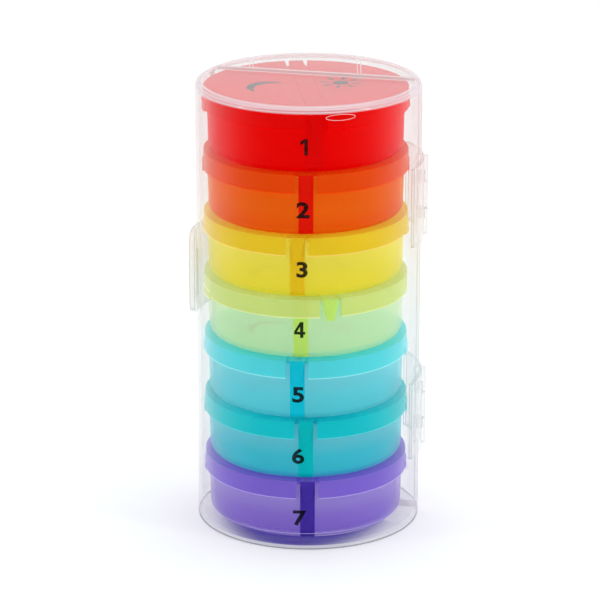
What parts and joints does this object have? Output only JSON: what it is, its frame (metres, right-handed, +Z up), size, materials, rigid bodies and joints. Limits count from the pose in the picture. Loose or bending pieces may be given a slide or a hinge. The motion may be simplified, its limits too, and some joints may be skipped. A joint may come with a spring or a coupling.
{
  "type": "weekly pill organizer",
  "caption": "Clear round clamshell case with a hinged rear door, holding a stack of round rainbow-coloured pill boxes, each with half-round lid flaps.",
  "frame": {"origin": "centre of the case's round base, on the surface it stands on", "axes": "+Z up along the case; -Y is the front, +Y the door's side, +X the hinges' side"},
  "size_m": [0.0689, 0.066, 0.1333],
  "materials": {
    "clear_case": "water-clear, polished, with soft edges",
    "purple_plastic": "translucent moulded plastic, satin",
    "teal_plastic": "translucent moulded plastic, satin",
    "sky_blue_plastic": "translucent moulded plastic, satin",
    "green_plastic": "translucent moulded plastic, satin",
    "yellow_plastic": "translucent moulded plastic, satin",
    "orange_plastic": "translucent moulded plastic, satin",
    "red_plastic": "translucent moulded plastic, satin",
    "dark_print": "thin printed ink"
  },
  "bodies": {
    "case": {"case_front": "clear_case"},
    "door": {"case_door": "clear_case"},
    "box_purple": {"tub_purple": "purple_plastic", "hinge_bar_purple": "purple_plastic", "moon_flap_purple": "purple_plastic", "sun_flap_purple": "purple_plastic"},
    "box_teal": {"tub_teal": "teal_plastic", "hinge_bar_teal": "teal_plastic", "moon_flap_teal": "teal_plastic", "sun_flap_teal": "teal_plastic"},
    "box_sky_blue": {"tub_sky_blue": "sky_blue_plastic", "hinge_bar_sky_blue": "sky_blue_plastic", "moon_flap_sky_blue": "sky_blue_plastic", "sun_flap_sky_blue": "sky_blue_plastic"},
    "box_green": {"tub_green": "green_plastic", "hinge_bar_green": "green_plastic", "moon_flap_green": "green_plastic", "sun_flap_green": "green_plastic"},
    "box_yellow": {"tub_yellow": "yellow_plastic", "hinge_bar_yellow": "yellow_plastic", "moon_flap_yellow": "yellow_plastic", "sun_flap_yellow": "yellow_plastic"},
    "box_orange": {"tub_orange": "orange_plastic", "hinge_bar_orange": "orange_plastic", "moon_flap_orange": "orange_plastic", "sun_flap_orange": "orange_plastic"},
    "box_red": {"tub_red": "red_plastic", "hinge_bar_red": "red_plastic", "moon_flap_red": "red_plastic", "sun_flap_red": "red_plastic"}
  },
  "joints": [
    {"name": "door_hinge", "type": "hinge", "parent": "case", "child": "door", "pos_m": [0.032, 0.0088, 0.06665], "axis": [0, 0, -1], "range_deg": [0, 140]},
    {"name": "purple_box_slide", "type": "slide", "parent": "case", "child": "box_purple", "axis": [0, 1, 0], "range_m": [0, 0.06]},
    {"name": "teal_box_slide", "type": "slide", "parent": "case", "child": "box_teal", "axis": [0, 1, 0], "range_m": [0, 0.06]},
    {"name": "sky_blue_box_slide", "type": "slide", "parent": "case", "child": "box_sky_blue", "axis": [0, 1, 0], "range_m": [0, 0.06]},
    {"name": "green_box_slide", "type": "slide", "parent": "case", "child": "box_green", "axis": [0, 1, 0], "range_m": [0, 0.06]},
    {"name": "yellow_box_slide", "type": "slide", "parent": "case", "child": "box_yellow", "axis": [0, 1, 0], "range_m": [0, 0.06]},
    {"name": "orange_box_slide", "type": "slide", "parent": "case", "child": "box_orange", "axis": [0, 1, 0], "range_m": [0, 0.06]},
    {"name": "red_box_slide", "type": "slide", "parent": "case", "child": "box_red", "axis": [0, 1, 0], "range_m": [0, 0.06]}
  ],
  "couplings": [
    {"joint": "purple_box_slide", "follows": "door_hinge", "m_per_rad": 0.0245},
    {"joint": "teal_box_slide", "follows": "door_hinge", "m_per_rad": 0.0245},
    {"joint": "sky_blue_box_slide", "follows": "door_hinge", "m_per_rad": 0.0245},
    {"joint": "green_box_slide", "follows": "door_hinge", "m_per_rad": 0.0245},
    {"joint": "yellow_box_slide", "follows": "door_hinge", "m_per_rad": 0.0245},
    {"joint": "orange_box_slide", "follows": "door_hinge", "m_per_rad": 0.0245},
    {"joint": "red_box_slide", "follows": "door_hinge", "m_per_rad": 0.0245}
  ]
}
